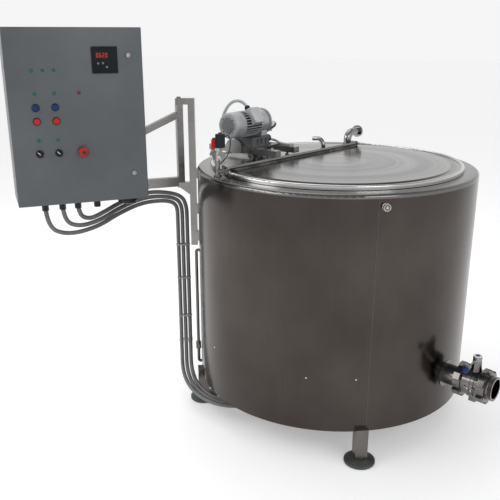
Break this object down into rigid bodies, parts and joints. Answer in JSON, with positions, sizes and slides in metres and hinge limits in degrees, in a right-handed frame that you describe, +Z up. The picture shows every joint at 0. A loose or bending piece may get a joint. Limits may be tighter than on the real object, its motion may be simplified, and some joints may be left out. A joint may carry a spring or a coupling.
{
  "type": "vat pasteurizer",
  "caption": "Jacketed round milk vat on legs with a half-opening lid, bridge-mounted agitator drive, bottom outlet with butterfly valve and a control cabinet on a swinging jib",
  "frame": {"origin": "on the floor under the middle of the vat", "axes": "+Z up, the outlet points along -Y, the lid's hinge rod runs along X"},
  "size_m": [1.7649, 1.6364, 1.6667],
  "materials": {
    "satin_stainless": "satin brushed",
    "polished_stainless": "polished",
    "inner_stainless": "fine brushed",
    "wool": "loose mineral wool",
    "dark_foot": "dull",
    "light_rubber": "dull",
    "cast_alloy": "cast, painted silver",
    "dark_casting": "dark painted",
    "light_casting": "cast",
    "black_plastic": "moulded",
    "fan_plastic": "moulded",
    "plated_brass": "nickel plated",
    "blue_plastic": "glossy",
    "cabinet_paint": "fine textured light grey",
    "lock_metal": "plated",
    "blue_cap": "glossy",
    "red_cap": "glossy",
    "lamp_lens": "lens",
    "conduit_grey": "ribbed",
    "gland_plastic": "moulded",
    "gear_plate": "plain"
  },
  "bodies": {
    "vat": {"outer_shell": "satin_stainless", "shoulder_ring": "satin_stainless", "inner_vessel": "inner_stainless", "jacket_wall": "inner_stainless", "insulation": "wool", "base_frame": "satin_stainless", "legs": "satin_stainless", "foot_pads": "dark_foot", "heaters": "inner_stainless", "rear_cover": "polished_stainless", "lid_gasket": "light_rubber", "bridge_beams": "satin_stainless", "gearbox": "dark_casting", "gear_case": "light_casting", "motor_body": "cast_alloy", "fan_cowl": "cast_alloy", "terminal_box": "cast_alloy", "inlet_pipe": "polished_stainless", "vent_pipe": "polished_stainless", "filling_pipe": "satin_stainless", "filling_valve": "plated_brass", "solenoid_coil": "black_plastic", "shell_fittings": "satin_stainless", "outlet_stub": "polished_stainless", "union_nuts": "polished_stainless", "valve_body": "polished_stainless", "outlet_end": "polished_stainless", "panel_post": "satin_stainless", "tank_conduit_1": "conduit_grey", "tank_conduit_2": "conduit_grey", "tank_conduit_3": "conduit_grey", "motor_conduit": "conduit_grey"},
    "lid": {"front_lid": "polished_stainless", "hinge_rod": "polished_stainless"},
    "agitator": {"agitator_shaft": "polished_stainless", "agitator_blades": "polished_stainless"},
    "fan": {"motor_fan": "fan_plastic"},
    "butterfly": {"valve_disc": "polished_stainless", "valve_handle": "polished_stainless", "handle_knob": "blue_plastic"},
    "jib": {"jib_frame": "satin_stainless", "cabinet_box": "cabinet_paint", "switchgear": "gear_plate", "cable_glands": "gland_plastic", "panel_conduit_1": "conduit_grey", "panel_conduit_2": "conduit_grey", "panel_conduit_3": "conduit_grey"},
    "door": {"cabinet_door": "cabinet_paint", "controller": "black_plastic", "indicator_lamps": "lamp_lens", "switch_bodies": "black_plastic"},
    "upper_lock": {"lock_upper": "lock_metal"},
    "lower_lock": {"lock_lower": "lock_metal"},
    "start_left": {"start_button_left": "blue_cap"},
    "start_right": {"start_button_right": "blue_cap"},
    "stop_left": {"stop_button_left": "red_cap"},
    "stop_right": {"stop_button_right": "red_cap"},
    "switch_left": {"selector_left": "black_plastic"},
    "switch_right": {"selector_right": "black_plastic"},
    "emergency": {"emergency_button": "red_cap"}
  },
  "joints": [
    {"name": "jib_swing", "type": "hinge", "parent": "vat", "child": "jib", "pos_m": [-0.43367, 0.52051, 1.188], "axis": [0, 0, 1], "range_deg": [-60, 25]},
    {"name": "door_hinge", "type": "hinge", "parent": "jib", "child": "door", "pos_m": [-1.15251, 0.64251, 1.3417], "axis": [0, 0, -1], "range_deg": [0, 110]},
    {"name": "upper_lock_turn", "type": "hinge", "parent": "door", "child": "upper_lock", "pos_m": [-0.76752, 0.42649, 1.5667], "axis": [0.4493, 0.8934, 0], "range_deg": [0, 90]},
    {"name": "lower_lock_turn", "type": "hinge", "parent": "door", "child": "lower_lock", "pos_m": [-0.76752, 0.42649, 1.1207], "axis": [0.4493, 0.8934, 0], "range_deg": [0, 90]},
    {"name": "start_left_press", "type": "slide", "parent": "door", "child": "start_left", "axis": [0.4493, 0.8934, 0], "range_m": [0, 0.004], "stiffness_N_per_m": 700, "springref_m": -0.003},
    {"name": "start_right_press", "type": "slide", "parent": "door", "child": "start_right", "axis": [0.4493, 0.8934, 0], "range_m": [0, 0.004], "stiffness_N_per_m": 700, "springref_m": -0.003},
    {"name": "stop_left_press", "type": "slide", "parent": "door", "child": "stop_left", "axis": [0.4493, 0.8934, 0], "range_m": [0, 0.004], "stiffness_N_per_m": 700, "springref_m": -0.003},
    {"name": "stop_right_press", "type": "slide", "parent": "door", "child": "stop_right", "axis": [0.4493, 0.8934, 0], "range_m": [0, 0.004], "stiffness_N_per_m": 700, "springref_m": -0.003},
    {"name": "switch_left_turn", "type": "hinge", "parent": "door", "child": "switch_left", "pos_m": [-1.08109, 0.5842, 1.2157], "axis": [0.4493, 0.8934, 0], "range_deg": [0, 90]},
    {"name": "switch_right_turn", "type": "hinge", "parent": "door", "child": "switch_right", "pos_m": [-1.01856, 0.55275, 1.2157], "axis": [0.4493, 0.8934, 0], "range_deg": [0, 90]},
    {"name": "emergency_press", "type": "slide", "parent": "door", "child": "emergency", "axis": [0.4493, 0.8934, 0], "range_m": [0, 0.005]},
    {"name": "lid_hinge", "type": "hinge", "parent": "vat", "child": "lid", "pos_m": [-0.0385, 0.175, 1.131], "axis": [-1, 0, 0], "range_deg": [0, 88]},
    {"name": "butterfly_turn", "type": "hinge", "parent": "vat", "child": "butterfly", "pos_m": [0, -0.727, 0.3], "axis": [0, 0, 1], "range_deg": [0, 90]},
    {"name": "agitator_spin", "type": "hinge", "parent": "vat", "child": "agitator", "pos_m": [-0.115, 0.365, 0.8], "axis": [0, 0, 1], "continuous": true},
    {"name": "fan_spin", "type": "hinge", "parent": "vat", "child": "fan", "pos_m": [-0.28435, 0.35018, 1.267], "axis": [0.9962, 0.0872, 0], "continuous": true}
  ],
  "couplings": [
    {"joint": "fan_spin", "follows": "agitator_spin", "ratio": 30}
  ]
}
